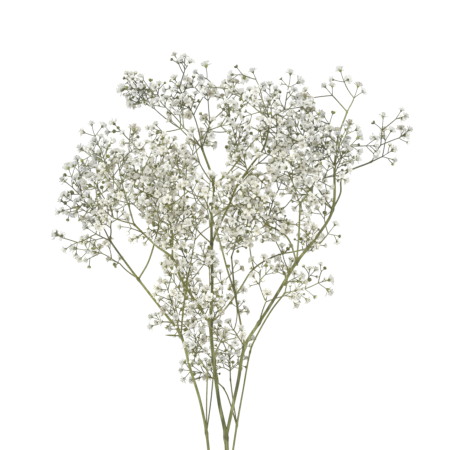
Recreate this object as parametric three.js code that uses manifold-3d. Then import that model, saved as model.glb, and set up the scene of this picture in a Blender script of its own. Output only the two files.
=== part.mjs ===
// Gypsophila: one cut, many-branched stem of double baby's breath, lying on a surface.
// Millimetres, +Z up, +Y from the cut end to the tips, +X to the right seen from above.
import * as THREE from 'three';
import { mergeVertices } from 'three/addons/utils/BufferGeometryUtils.js';
import Module from 'manifold-3d';

// ---------------------------------------------------------------- driving dimensions

const CUT_Y = -158; // the cut end; y = 0 is a mark on the stalk, 158 mm above the cut
const MIDDLE = { x: 5.8, y: 117.6, z: 0.29 }; // middle of the outline's underside, which becomes the origin
const RISE = 0.125; // how fast the stalk climbs from its cut end to the head, which holds it up

const TWIG_RADIUS = 0.7; // of a stem that carries one spray
const PIPE_POWER = 0.3; // a stem that carries n sprays is n ** PIPE_POWER times as thick
const SWELLING = 1.35; // how much thicker a stem is at a joint
const PEG = 6; // length of the stub that a spray grows on
const SEAT = 0.3; // gap between a stub's end and its spray's stalk

const STALK_RADIUS = 0.7;
const FORK_RADIUS = 0.64;
const FORK_HEIGHT = 1.4;
const PEDICEL_RADIUS = 0.43;
const TWIG_LENGTHS = [19, 16, 13.5, 12]; // by how many forks lie below
const PEDICEL_LENGTH = [6, 12];
const SHORT_PEDICEL = [3, 6]; // of a twig's end head that finds no room farther out
const SPREAD = [0.5, 1.05]; // angle between a side twig and its parent, in radians
const LOWEST_FORK = 8; // height of a fork above the surface
const MARGIN = 8; // from a fork to the border of the crown
const FLORET_RADIUS = [3.2, 4.3];
const LARGE_FLORET_RADIUS = [4.6, 5.4];
const LARGE_SHARE = 0.16;
const BUD_RADIUS = [1.8, 2.5];
const FLORET_LENGTH = 1.2; // times its radius
const BUD_SHARE = 0.36; // of the heads on side pedicels
const BUD_LENGTH = 2.1; // times its radius

const LEAF_WIDTH = 2.6;
const LEAF_THICK = 0.8;
const LEAF_WIDEST = 6; // how far from its joint the leaf is widest
const LEAF_TIP = [-62, 114, 6]; // the leaf grows from the left axis

const OWN_CLEARANCE = 0.45; // between twigs and heads of one spray
const CLEARANCE = 0.8; // between those of different nodes
const TRIES = 24; // draws for each twig and head
const CHOICES = 8; // of which the best of so many with room is kept
const DEPTH_WEIGHT = 0.4; // evenness counts less in depth than in plan
const SEED = 20817;

// ---------------------------------------------------------------- the plant's plan
// A joint is a swollen node of the stem: x, y, and its lift above the stalk's own line.

const JOINTS = {
  cut: [-3, CUT_Y, 0],
  lowLeft: [-2, -95, 0],
  lowRight: [1, -45, 0],
  leftFirst: [-19.7, 14, 6],
  midFirst: [0, 9, 0],
  rightFirst: [11, 21, -6],
  leftLeaf: [-45.5, 113, 5],
  leftInner: [-18.5, 79, 16],
  leftCross: [-11, 95, 14],
  midLeft: [-12.5, 88, -3],
  midRight: [19, 102, 4],
  rightInner: [-2.5, 59, -15],
  rightMid: [4.5, 68, -12],
  rightOuter: [24.5, 96, -12],
  rightLow: [60, 156, -20],
  rightSprig: [33, 126, 9],
  rightCrown: [71, 188, 14],
  centreLow: [9, 157, 11],
  centreHigh: [5.5, 193, 16],
  centreLeft: [-14, 232, 30],
  trunkLow: [-15.5, 125, -5],
  leftHub: [-54, 191.5, 4],
  rightCrossed: [28, 180.5, -18],
  farLeft: [-88.5, 170, -4],
  leftAbove: [-36, 183, 27],
  farLeftMid: [-116.4, 209, 8],
  leftUnder: [-68, 224, -26],
  leftFan: [-92, 225.6, 16],
  leftHubTop: [-60, 246, 12],
  trunkMid: [-14.5, 206, -7],
  trunkTop: [-12.5, 265.5, -5],
  trunkLeft: [-43, 241, -2],
  crownMid: [10.5, 263.5, 8],
  crownRight: [44, 330, 14],
  crownLeft: [-24, 302, 2],
  crownBack: [14, 292.5, -18],
  rightShoulder: [40, 226, 8],
  rightPeak: [74, 245, 22],
  rightFan: [107, 240.5, 8],
  rightLowFan: [94, 204.5, -24],
  rightStar: [109, 284, 6],
  rightBend: [117.5, 274.5, -4],
  farRight: [146.7, 288.8, -12],
  rightTall: [121, 338, 10],
};

// Each limb runs through joints and, between them, through bends given as x, y.
const LIMBS = [
  ['cut', 'lowLeft', 'lowRight', 'midFirst', [-7, 45], 'midLeft', 'trunkLow', [-14, 160], 'trunkMid',
    [-14.5, 235], 'trunkTop', 'crownLeft'],
  ['lowLeft', [-10, -60], [-16, -20], 'leftFirst', [-27, 50], [-36, 79], 'leftLeaf', [-62, 136], 'farLeft',
    [-106, 194], 'farLeftMid'],
  ['lowRight', [6, -12], 'rightFirst', [17, 55], 'rightOuter', [30, 110], [46, 138], 'rightLow'],
  ['midFirst', [7, 42], [12, 65], 'midRight', 'rightSprig', [42, 140], [60, 170], 'rightCrown', [91, 213],
    'rightFan', 'rightStar', [112, 312], 'rightTall'],
  ['leftFirst', [-19.5, 50], 'leftInner'],
  ['leftFirst', [-15, 50], 'leftCross'],
  ['rightFirst', [2, 50], 'rightInner'],
  ['rightFirst', [6.5, 52], 'rightMid'],
  ['midRight', [14, 130], 'centreLow', 'centreHigh'],
  ['centreLow', [2, 178], [-7, 211], 'centreLeft'],
  ['trunkLow', [-29, 145], [-45, 170], 'leftHub', [-70, 204], 'leftFan'],
  ['trunkLow', [0, 141], [14, 160], 'rightCrossed', [51, 194], [72, 198.5], 'rightLowFan'],
  ['leftLeaf', [-43, 140], [-39, 168], 'leftAbove'],
  ['farLeft', [-78, 189], 'leftUnder'],
  ['leftHub', [-54, 215], 'leftHubTop'],
  ['trunkMid', [-28, 219], 'trunkLeft'],
  ['trunkMid', [-6, 226], [4, 247], 'crownMid', [24, 283], [38, 303], 'crownRight'],
  ['trunkTop', [2, 277], 'crownBack'],
  ['rightCrown', [61, 213], 'rightShoulder'],
  ['rightCrown', [73, 217], 'rightPeak'],
  ['rightFan', [115, 257], 'rightBend', 'farRight'],
];

// Each spray: the joint it grows from, its first forks in a row as x, y and lift, and its number of forks.
const SPRAYS = [
  ['farLeft', [[-108, 186, -22], [-126, 196, -30]], 3],
  ['farLeftMid', [[-130, 234, -8], [-146, 254, -14], [-148, 278, -16]], 6],
  ['farLeftMid', [[-116, 240, -24], [-130, 262, -34]], 5],
  ['farLeftMid', [[-130, 216, 20]], 4],
  ['leftFan', [[-112, 232, 26], [-128, 244, 28]], 5],
  ['leftFan', [[-100, 252, 28], [-116, 276, 36], [-124, 300, 38]], 6],
  ['leftFan', [[-104, 266, 8], [-108, 286, 8]], 5],
  ['leftUnder', [[-72, 246, -40]], 6],
  ['leftUnder', [[-94, 246, -46]], 6],
  ['leftHub', [[-54, 222, -18]], 6],
  ['leftHubTop', [[-82, 258, 36]], 6],
  ['leftHubTop', [[-62, 262, 22]], 5],
  ['leftHubTop', [[-74, 270, -4]], 4],
  ['leftAbove', [[-48, 208, 40]], 6],
  ['leftAbove', [[-31, 210, 32]], 6],
  ['trunkLeft', [[-42, 262, -24], [-40, 282, -28]], 5],
  ['crownLeft', [[-42, 322, 14], [-60, 342, 22], [-76, 360, 24]], 6],
  ['crownLeft', [[-46, 322, -8], [-72, 342, -12], [-92, 354, -14]], 4],
  ['crownLeft', [[-32, 334, 32], [-46, 360, 36]], 4],
  ['crownLeft', [[-16, 328, -10], [-18, 350, -14]], 4],
  ['trunkTop', [[-26, 286, 30]], 5],
  ['crownBack', [[10, 312, -40], [4, 334, -52]], 5],
  ['crownBack', [[30, 312, -34]], 5],
  ['crownMid', [[32, 286, 36], [50, 304, 40]], 4],
  ['crownRight', [[36, 350, 24]], 4],
  ['crownRight', [[58, 340, 22], [62, 362, 22]], 4],
  ['crownRight', [[22, 348, -6]], 4],
  ['centreHigh', [[12, 214, 34], [26, 230, 40]], 6],
  ['centreLeft', [[-22, 252, 48]], 4],
  ['centreLeft', [[2, 244, 44]], 6],
  ['rightCrossed', [[24, 206, -34], [18, 226, -38]], 6],
  ['rightShoulder', [[28, 244, 14]], 6],
  ['rightShoulder', [[46, 246, 30]], 7],
  ['rightPeak', [[66, 268, 36], [56, 288, 40]], 6],
  ['rightPeak', [[88, 268, 46]], 6],
  ['rightFan', [[88, 256, -16], [76, 274, -28]], 7],
  ['rightFan', [[94, 262, -44], [90, 280, -52]], 6],
  ['rightStar', [[98, 302, 24]], 3],
  ['rightStar', [[84, 304, -10], [72, 324, -14]], 5],
  ['rightStar', [[124, 304, 14], [140, 304, 16]], 2],
  ['rightStar', [[114, 310, 30]], 3],
  ['rightTall', [[106, 354, 16]], 2],
  ['rightTall', [[128, 352, 4]], 2],
  ['farRight', [[158, 294, -20]], 2],
  ['farRight', [[155, 305, 6], [156, 320, 10]], 4],
  ['rightLowFan', [[104, 216, -36]], 4],
  ['rightLow', [[80, 160, -22], [94, 166, -26]], 4],
  ['rightLow', [[64, 178, -32]], 5],
  ['rightSprig', [[40, 148, 24]], 4],
  ['midRight', [[8, 118, -16]], 4],
  ['leftLeaf', [[-52, 140, 26], [-58, 160, 30]], 5],
  ['trunkLow', [[-28, 136, 14]], 6],
  ['trunkLow', [[-30, 146, -20], [-34, 170, -26]], 6],
  ['trunkLow', [[-4, 146, -22], [-4, 164, -28]], 3],
  ['midLeft', [[-24, 99, -14], [-36, 116, -26]], 5],
  ['rightInner', [[-12, 68, -20], [-24, 74, -26]], 3],
  ['rightMid', [[4, 88, -26]], 3],
  ['leftInner', [[-30, 94, 20]], 2],
  ['leftCross', [[-5, 108, 24]], 3],
];

// The border of the crown seen from above, as x, y.
const CROWN = [
  [-50, 62], [-80, 118], [-72, 188], [-140, 178], [-164, 196], [-178, 238], [-168, 296],
  [-132, 334], [-84, 320], [-114, 350], [-110, 370], [-62, 390], [-40, 398], [0, 392],
  [50, 366], [66, 394], [82, 352], [118, 384], [142, 368], [132, 328], [172, 348],
  [184, 328], [180, 288], [124, 276], [108, 252], [122, 210], [78, 196], [118, 172],
  [98, 146], [50, 130], [24, 78],
];

// ---------------------------------------------------------------- draws and vectors

let state = SEED;
function draw() {
  state = (state * 16807) % 2147483647;
  return state / 2147483647;
}
const between = (low, high) => low + (high - low) * draw();

const vec = (x, y, z) => new THREE.Vector3(x, y, z);
const mix = (a, b, share) => a.clone().lerp(b, share);
const towards = (from, to) => to.clone().sub(from).normalize();
const along = (start, axis, distance) => start.clone().addScaledVector(axis, distance);

const stalkHeight = (y) => RISE * (y - CUT_Y) + stemRadius(SPRAYS.length);
const placeOf = ([x, y, lift]) => vec(x, y, stalkHeight(y) + lift);

// The part of a vector that is square to an axis, at length 1.
function squareTo(vector, axis) {
  const rest = vector.clone().addScaledVector(axis, -vector.dot(axis));
  if (rest.lengthSq() < 1e-6) {
    rest.copy(Math.abs(axis.z) < 0.9 ? vec(0, 0, 1) : vec(1, 0, 0)).projectOnPlane(axis);
  }
  return rest.normalize();
}

// ---------------------------------------------------------------- closed skins

// A closed surface made of rings of points, each ring counter-clockwise seen from the tip's side.
class Skin {
  points = [];
  faces = [];

  point(place) {
    return this.points.push(place) - 1;
  }

  ring(centre, axis, side, radii, rises = [0]) {
    const across = axis.clone().cross(side);
    return radii.map((radius, k) => {
      const turn = (2 * Math.PI * k) / radii.length;
      const out = side.clone().multiplyScalar(Math.cos(turn)).addScaledVector(across, Math.sin(turn));
      return this.point(along(centre, out, radius).addScaledVector(axis, rises[k % rises.length]));
    });
  }

  // Joins two rings of any counts, in step round both, and takes the shorter diagonal where they tie.
  join(lower, upper) {
    const gap = (i, j) => (
      this.points[lower[i % lower.length]].distanceTo(this.points[upper[j % upper.length]])
    );
    const first = upper.map((_, j) => j).reduce((best, j) => (gap(0, j) < gap(0, best) ? j : best), 0);
    let i = 0;
    let j = 0;
    while (i < lower.length || j < upper.length) {
      const here = [lower[i % lower.length], upper[(first + j) % upper.length]];
      const lead = (i + 1) / lower.length - (j + 1) / upper.length;
      const stepLower = lead < 0 || (lead === 0 && gap(i + 1, first + j) < gap(i, first + j + 1));
      if (stepLower) {
        i += 1;
        this.faces.push([here[0], lower[i % lower.length], here[1]]);
      } else {
        j += 1;
        this.faces.push([here[0], upper[(first + j) % upper.length], here[1]]);
      }
    }
  }

  fan(ring, tip) {
    const end = this.point(tip);
    ring.forEach((p, k) => this.faces.push([p, ring[(k + 1) % ring.length], end]));
  }

  close(ring) {
    for (let k = 2; k < ring.length; k += 1) this.faces.push([ring[0], ring[k - 1], ring[k]]);
  }

  geometry() {
    const made = new THREE.BufferGeometry().setFromPoints(this.points);
    made.setIndex(this.faces.flat());
    return made;
  }
}

const even = (count, radius) => Array(count).fill(radius);

// A stem through some points, with a radius at each.
function stemSkin(path, radii, sides) {
  const skin = new Skin();
  let side = vec(0, 0, 1);
  let below = null;
  path.forEach((place, k) => {
    const axis = towards(path[Math.max(k - 1, 0)], path[Math.min(k + 1, path.length - 1)]);
    side = squareTo(side, axis);
    const ring = skin.ring(place, axis, side, even(sides, radii[k]));
    if (below) skin.join(below, ring);
    else skin.close([...ring].reverse());
    below = ring;
  });
  skin.close(below);
  return skin;
}

// ---------------------------------------------------------------- room between stems

const taken = []; // rounded bars from a to b, with the forks they touch and the node they belong to
const spare = new THREE.Vector3();
const bar = new THREE.Line3();

function take(a, b, radius, owner, forks = []) {
  taken.push({ a, b, radius, owner, forks, middle: mix(a, b, 0.5), half: a.distanceTo(b) / 2 });
}

function isClear(a, b, radius, owner, forks = []) {
  const steps = Math.ceil(a.distanceTo(b) / 1.5);
  const middle = mix(a, b, 0.5);
  const half = a.distanceTo(b) / 2;
  return taken.every((other) => {
    if (other.forks.some((fork) => forks.includes(fork))) return true;
    const room = radius + other.radius + (other.owner === owner ? OWN_CLEARANCE : CLEARANCE);
    if (middle.distanceTo(other.middle) > half + other.half + room) return true;
    bar.set(other.a, other.b);
    for (let k = 0; k <= steps; k += 1) {
      const at = mix(a, b, steps ? k / steps : 0);
      if (bar.closestPointToPoint(at, true, spare).distanceTo(at) < room) return false;
    }
    return true;
  });
}

// ---------------------------------------------------------------- limbs

function stemRadius(sprays) {
  return TWIG_RADIUS * sprays ** PIPE_POWER;
}

const sidesFor = (radius) => [0.9, 1.7, 2.4].reduce((sides, step) => sides + (radius > step), 3);

const isJoint = (station) => typeof station === 'string';

// How many sprays are carried by the joint and by all that grows from it.
function spraysOn(joint) {
  const own = SPRAYS.filter(([from]) => from === joint).length;
  return LIMBS.reduce((sum, limb) => {
    const joints = limb.filter(isJoint);
    const next = joints[joints.indexOf(joint) + 1];
    return joints.includes(joint) && next ? sum + spraysOn(next) : sum;
  }, own);
}

// The places of a limb's stations: a bend's lift lies between those of the joints before and after it.
function limbPath(limb) {
  return limb.map((station, k) => {
    if (isJoint(station)) return placeOf(JOINTS[station]);
    const before = JOINTS[limb.slice(0, k).findLast(isJoint)];
    const after = JOINTS[limb.slice(k).find(isJoint)];
    const share = Math.hypot(station[0] - before[0], station[1] - before[1])
      / Math.hypot(after[0] - before[0], after[1] - before[1]);
    return placeOf([...station, before[2] + (after[2] - before[2]) * share]);
  });
}

function limbSkin(limb) {
  const path = limbPath(limb);
  const radii = limb.map((_, k) => stemRadius(spraysOn(limb.slice(k).find(isJoint))));
  path.slice(1).forEach((place, k) => {
    const joints = [limb[k], limb[k + 1]].filter(isJoint);
    take(path[k], place, radii[k + 1] * 1.1, 'main_stem', joints);
  });
  const first = radii[1];
  const last = radii[radii.length - 1];
  if (limb[0] !== 'cut') {
    path.splice(1, 0, along(path[0], towards(path[0], path[1]), 5 * first)); // it leaves its joint swollen
    radii.splice(0, 1, first * SWELLING, first);
  }
  const end = path[path.length - 1];
  const back = towards(end, path[path.length - 2]);
  path.splice(-1, 1, along(end, back, 3.5 * last), along(end, back, -0.6 * last));
  radii.push(last * SWELLING);
  return stemSkin(path, radii, sidesFor(radii[0]));
}

// A narrow pointed leaf of lens section, from a joint to its tip.
function leafSkin(joint, [x, y, lift]) {
  const root = placeOf(JOINTS[joint]);
  const tip = placeOf([x, y, lift]);
  const axis = towards(root, tip);
  const side = squareTo(vec(axis.y, -axis.x, 0), axis);
  const skin = new Skin();
  const [low, middle] = [LEAF_WIDTH * 0.5, LEAF_WIDTH].map((width, k) => skin.ring(
    along(root, axis, k * LEAF_WIDEST), axis, side, [width / 2, LEAF_THICK / 2, width / 2, LEAF_THICK / 2],
  ));
  skin.close([...low].reverse());
  skin.join(low, middle);
  skin.fan(middle, tip);
  return skin;
}

// ---------------------------------------------------------------- sprays

const FACE_TURN = Math.PI / 3; // a fork is three-sided: two of its faces look this far to each side
const spots = []; // forks and heads, which keep an even distance from each other

// A fork: its place, the axis of the twig that ends in it, and a side vector that turns it.
function makeFork(place, axis, side, level) {
  spots.push(place);
  return { place, axis, side, level, slots: {} };
}

function inCrown({ x, y }) {
  return CROWN.reduce((inside, [ax, ay], k) => {
    const [bx, by] = CROWN[(k + 1) % CROWN.length];
    const crosses = ay > y !== by > y && x < ((bx - ax) * (y - ay)) / (by - ay) + ax;
    return crosses ? !inside : inside;
  }, false);
}

function slotAxis(fork, face) {
  const lean = between(...SPREAD);
  const out = fork.side.clone().applyAxisAngle(fork.axis, face * FACE_TURN * between(1, 1.4));
  return fork.axis.clone().multiplyScalar(Math.cos(lean)).addScaledVector(out, Math.sin(lean)).normalize();
}

// Of some draws that have room, the one that lies farthest from all forks and heads so far.
function bestOf(drawOne, hasRoom) {
  let best = null;
  let found = 0;
  for (let attempt = 0; attempt < TRIES && found < CHOICES; attempt += 1) {
    const one = drawOne();
    if (hasRoom(one)) {
      found += 1;
      const reach = Math.min(...spots.map((spot) => (
        Math.hypot(spot.x - one.place.x, spot.y - one.place.y, (spot.z - one.place.z) * DEPTH_WEIGHT)
      )));
      if (!best || reach > best.reach) best = { ...one, reach };
    }
  }
  return best;
}

// A spray's stalk and its first forks in a row, whose heights are shifted until they are clear.
function growStalk(name, [joint, row]) {
  const root = placeOf(JOINTS[joint]);
  for (let shift = 0; shift < 16; shift += 1) {
    const change = Math.ceil(shift / 2) * (shift % 2 ? 3 : -3);
    const places = row.map(([x, y, lift]) => placeOf([x, y, lift + change]));
    places.forEach((place) => { place.z = Math.max(place.z, LOWEST_FORK); });
    const axis = towards(root, places[0]);
    const start = along(root, axis, PEG + SEAT);
    const path = [start, ...places];
    if (places.every((place, k) => isClear(path[k], place, STALK_RADIUS, name))) {
      const side = squareTo(vec(between(-1, 1), between(-1, 1), between(-1, 1)), axis);
      take(root, along(root, axis, PEG), STALK_RADIUS, 'main_stem', [joint]);
      const forks = [];
      places.forEach((place, k) => {
        const here = towards(path[k], path[k + 2] || place);
        const fork = makeFork(place, here, squareTo(side, here), k);
        if (k) forks[k - 1].slots.top = { fork };
        take(path[k], place, STALK_RADIUS, name, k ? [forks[k - 1], fork] : [fork]);
        forks.push(fork);
      });
      return { name, root, start, axis, side, forks };
    }
  }
  throw new Error(`${name} has no clear way from ${joint}`);
}

// Turns the best of the spray's open side slots into a twig with a fork of its own.
function growFork(spray) {
  const open = spray.forks.flatMap((from) => (
    [1, -1].filter((face) => !from.slots[face]).map((face) => ({ from, face }))
  ));
  const drawTwig = () => {
    const { from, face } = open[Math.floor(draw() * open.length)];
    const length = TWIG_LENGTHS[Math.min(from.level, TWIG_LENGTHS.length - 1)] * between(0.8, 1.2);
    const axis = slotAxis(from, face);
    const place = along(from.place, axis, length);
    place.z = Math.max(place.z, LOWEST_FORK);
    return { from, face, place, beyond: along(place, axis, MARGIN) };
  };
  const twig = bestOf(drawTwig, ({ from, place, beyond }) => (
    inCrown(place) && inCrown(beyond) && isClear(from.place, place, FORK_RADIUS, spray.name, [from])
  ));
  if (twig) {
    const { from, face, place } = twig;
    const axis = towards(from.place, place);
    const next = makeFork(place, axis, squareTo(from.side.clone().cross(from.axis), axis), from.level + 1);
    take(from.place, place, FORK_RADIUS, spray.name, [from, next]);
    from.slots[face] = { fork: next };
    spray.forks.push(next);
  }
}

// Puts a floret or a bud on a free slot of a fork.
function growHead(spray, fork, face, reach = PEDICEL_LENGTH) {
  const bud = face !== 'top' && draw() < BUD_SHARE;
  const large = draw() < LARGE_SHARE;
  const radius = bud ? between(...BUD_RADIUS) : between(...(large ? LARGE_FLORET_RADIUS : FLORET_RADIUS));
  const half = radius * (bud ? BUD_LENGTH : FLORET_LENGTH) / 2;
  const drawHead = () => {
    const axis = face !== 'top' ? slotAxis(fork, face) : fork.axis.clone()
      .addScaledVector(fork.side, between(-0.35, 0.35)).normalize();
    const place = along(fork.place, axis, between(...reach) + half);
    place.z = Math.max(place.z, Math.max(radius, half));
    const heading = towards(fork.place, place);
    return { place, heading, base: along(place, heading, -half) };
  };
  const found = bestOf(drawHead, ({ place, base }) => (
    inCrown(place) && isClear(place, place, radius, spray.name)
      && isClear(fork.place, base, PEDICEL_RADIUS, spray.name, [fork])
  ));
  if (!found) {
    const again = face === 'top' && reach !== SHORT_PEDICEL;
    return again ? growHead(spray, fork, face, SHORT_PEDICEL) : null;
  }
  const { place, heading, base } = found;
  spots.push(place);
  take(place, place, radius, spray.name);
  take(fork.place, base, PEDICEL_RADIUS, spray.name, [fork]);
  return { head: { base, axis: heading, side: squareTo(fork.side, heading), radius, bud } };
}

function addHead(skin, below, { base, axis, side, radius, bud }) {
  const neck = skin.ring(base, axis, side, even(3, PEDICEL_RADIUS));
  skin.join(below, neck);
  if (bud) {
    const belly = skin.ring(along(base, axis, radius), axis, side, even(3, radius));
    skin.join(neck, belly);
    skin.fan(belly, along(base, axis, radius * BUD_LENGTH));
    return;
  }
  const outer = skin.ring(along(base, axis, radius * 0.5), axis, side, even(3, radius));
  const turned = side.clone().applyAxisAngle(axis, FACE_TURN);
  const inner = skin.ring(along(base, axis, radius * FLORET_LENGTH), axis, turned, even(3, radius * 0.62));
  skin.join(neck, outer);
  skin.join(outer, inner);
  skin.fan(inner, along(base, axis, radius * 0.85));
}

function addBranch(skin, below, slot) {
  if (!slot) skin.close(below);
  else if (slot.head) addHead(skin, below, slot.head);
  else addFork(skin, below, slot.fork);
}

function addFork(skin, below, fork) {
  const [lower, upper] = [-1, 1].map((end) => skin.ring(
    along(fork.place, fork.axis, (end * FORK_HEIGHT) / 2), fork.axis, fork.side, even(3, FORK_RADIUS),
  ));
  skin.join(below, lower);
  [fork.slots[1], null, fork.slots[-1]].forEach((slot, k) => {
    addBranch(skin, [lower[k], lower[(k + 1) % 3], upper[(k + 1) % 3], upper[k]], slot);
  });
  addBranch(skin, upper, fork.slots.top);
}

function spraySkin(spray) {
  const skin = new Skin();
  const root = skin.ring(spray.start, spray.axis, spray.side, even(3, STALK_RADIUS));
  skin.close([...root].reverse());
  addFork(skin, root, spray.forks[0]);
  return skin;
}

// ---------------------------------------------------------------- putting it together

const wasm = await Module();
wasm.setup();

function solidOf(geometry) {
  const merged = mergeVertices(geometry, 1e-4);
  return new wasm.Manifold(new wasm.Mesh({
    numProp: 3,
    vertProperties: merged.attributes.position.array,
    triVerts: new Uint32Array(merged.index.array),
  }));
}

function geometryOf(solid) {
  const { numProp, numVert, vertProperties, triVerts } = solid.getMesh();
  const places = new Float32Array(numVert * 3);
  for (let k = 0; k < numVert; k += 1) {
    places.set(vertProperties.subarray(k * numProp, k * numProp + 3), k * 3);
  }
  return new THREE.BufferGeometry()
    .setAttribute('position', new THREE.BufferAttribute(places, 3))
    .setIndex(new THREE.BufferAttribute(triVerts, 1));
}

const green = new THREE.MeshStandardMaterial({ color: 0x7f8f4a, roughness: 0.6, metalness: 0 });
const white = new THREE.MeshStandardMaterial({ color: 0xf0f0ea, roughness: 0.75, metalness: 0 });

const stem = new THREE.Group();
stem.position.set(-MIDDLE.x, -MIDDLE.y, -MIDDLE.z);

function addMesh(name, geometry, material) {
  const mesh = new THREE.Mesh(geometry, material);
  mesh.name = name;
  stem.add(mesh);
}

const limbSkins = LIMBS.map(limbSkin);
const sprays = SPRAYS.map((spray, k) => growStalk(`spray_${String(k + 1).padStart(2, '0')}`, spray));
const mostForks = Math.max(...SPRAYS.map((spray) => spray[2]));
for (let count = 2; count <= mostForks; count += 1) {
  sprays.forEach((spray, k) => {
    if (SPRAYS[k][2] >= count && spray.forks.length < count) growFork(spray);
  });
}
for (const face of ['top', 1, -1]) {
  for (const spray of sprays) {
    for (const fork of spray.forks) fork.slots[face] ||= growHead(spray, fork, face);
  }
}

const pegs = sprays.map(({ root, axis, side }) => {
  const peg = new Skin();
  const low = peg.ring(root, axis, side, even(3, STALK_RADIUS));
  const high = peg.ring(along(root, axis, PEG), axis, side, even(3, STALK_RADIUS));
  peg.close([...low].reverse());
  peg.join(low, high);
  peg.close(high);
  return peg;
});
const stemSkins = [...limbSkins, ...pegs, leafSkin('leftLeaf', LEAF_TIP)];
const stemSolids = stemSkins.map((skin) => solidOf(skin.geometry()));
addMesh('main_stem', geometryOf(wasm.Manifold.union(stemSolids)), green);
sprays.forEach((spray) => addMesh(spray.name, spraySkin(spray).geometry(), white));

export default stem;
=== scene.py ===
import math
import re
from functools import partialmethod

import bpy
import numpy as np
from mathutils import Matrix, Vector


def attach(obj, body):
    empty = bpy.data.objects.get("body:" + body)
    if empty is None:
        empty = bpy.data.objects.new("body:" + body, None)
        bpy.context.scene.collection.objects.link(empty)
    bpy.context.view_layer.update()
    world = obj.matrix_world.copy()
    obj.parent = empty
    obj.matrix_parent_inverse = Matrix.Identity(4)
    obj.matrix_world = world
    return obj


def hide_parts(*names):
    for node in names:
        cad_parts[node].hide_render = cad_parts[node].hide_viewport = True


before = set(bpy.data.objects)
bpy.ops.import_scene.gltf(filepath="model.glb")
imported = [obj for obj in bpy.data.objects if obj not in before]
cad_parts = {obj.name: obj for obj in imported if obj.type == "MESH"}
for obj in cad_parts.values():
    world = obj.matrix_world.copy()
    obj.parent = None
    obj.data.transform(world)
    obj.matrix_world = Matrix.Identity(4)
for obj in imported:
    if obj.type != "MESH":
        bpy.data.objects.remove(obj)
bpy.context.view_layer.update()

scene = bpy.context.scene
print("frame loaded:", len(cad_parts), "nodes")


# A wire is a socket that can be written into sums: 1 - wire * 2 adds the Math nodes for it.
class Wire:
    def __init__(self, tree, socket):
        self.tree = tree
        self.socket = socket

    def maths(self, operation, *others):
        return self.tree.add("ShaderNodeMath", {"operation": operation}, self, *others)

    def clamped(self):
        return self.tree.add("ShaderNodeClamp", self)

    def __rsub__(self, other):
        return self.tree.add("ShaderNodeMath", {"operation": "SUBTRACT"}, other, self)

    __add__ = __radd__ = partialmethod(maths, "ADD")
    __mul__ = __rmul__ = partialmethod(maths, "MULTIPLY")
    __sub__ = partialmethod(maths, "SUBTRACT")
    __truediv__ = partialmethod(maths, "DIVIDE")
    __pow__ = partialmethod(maths, "POWER")
    __gt__ = partialmethod(maths, "GREATER_THAN")
    __lt__ = partialmethod(maths, "LESS_THAN")


# The way a socket's name is written here and in Blender: fillCaps is Fill Caps.
def spoken(name):
    return re.sub(r"(?<=[a-z])([A-Z])", r" \1", name[0].upper() + name[1:])


class Tree:
    def __init__(self, made):
        self.made, self.nodes, self.links = made, made.nodes, made.links

    # Any node: its type, its settings if it needs any, then what goes into its sockets, in order or by name.
    def add(self, kind, *values, give=0, **named):
        node = self.nodes.new(kind)
        if values and isinstance(values[0], dict):
            settings, *values = values
            for key, value in settings.items():
                setattr(node, key, value)
        live = [socket for socket in node.inputs if socket.enabled]
        for socket, value in zip(live, values):
            self.plug(socket, value)
        for key, value in named.items():
            self.plug(next(socket for socket in live if socket.name == spoken(key)), value)
        outs = [socket for socket in node.outputs if socket.enabled]
        return Wire(self, outs[give]) if outs else node

    # A list goes into one socket that takes many.
    def plug(self, socket, value):
        if isinstance(value, list):
            for one in value:
                self.plug(socket, one)
        elif isinstance(value, Wire):
            self.links.new(value.socket, socket)
        elif socket.type == "RGBA" and len(value) == 3:
            socket.default_value = (*value, 1.0)
        else:
            socket.default_value = value

    def attribute(self, name, kind="FLOAT"):
        return self.add("GeometryNodeInputNamedAttribute", {"data_type": kind}, name)

    def random(self, limits, seed):
        return self.add("FunctionNodeRandomValue", {"data_type": "FLOAT"}, *limits, seed=seed)

    def vector(self, x, y, z):
        return self.add("ShaderNodeCombineXYZ", x, y, z)

    def partsOf(self, vector):
        return [self.add("ShaderNodeSeparateXYZ", vector, give=k) for k in range(3)]

    def join(self, parts):
        return self.add("GeometryNodeJoinGeometry", parts)


# A Geometry Nodes tree with named inputs, each given by its value, or as "Geometry" or "Material".
def geometryTree(name, **inputs):
    group = bpy.data.node_groups.new(name, "GeometryNodeTree")
    group.interface.new_socket("Geometry", in_out="OUTPUT", socket_type="NodeSocketGeometry")
    for key, value in inputs.items():
        kind = {int: "Int", float: "Float"}.get(type(value), value)
        socket = group.interface.new_socket(spoken(key), in_out="INPUT", socket_type="NodeSocket" + kind)
        if kind != value:
            socket.default_value = value
    tree = Tree(group)
    entry = tree.nodes.new("NodeGroupInput")
    return tree, {key: Wire(tree, entry.outputs[spoken(key)]) for key in inputs}


def finishTree(tree, result):
    tree.plug(tree.nodes.new("NodeGroupOutput").inputs[0], result)
    return tree.made


def stored(tree, shape, name, value):
    return tree.add("GeometryNodeStoreNamedAttribute", shape, name=name, value=value)


def movedTo(tree, shape, x, y, z):
    return tree.add("GeometryNodeSetPosition", shape, position=tree.vector(x, y, z))


# Marks what belongs to a finish, so that the materials can be set after all is real mesh.
def marked(tree, shape, finish):
    return stored(tree, shape, "finish", float(finish))


# Turns what is put on a point so that its top follows the heading that the point holds.
def facing(tree):
    return tree.add("FunctionNodeAxesToRotation", {"primary_axis": "Z", "secondary_axis": "X"},
                    tree.attribute("heading", "FLOAT_VECTOR"), tree.attribute("side", "FLOAT_VECTOR"))


rimAngle = 1.2  # a sharper edge is a rim and isn't smoothed


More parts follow.
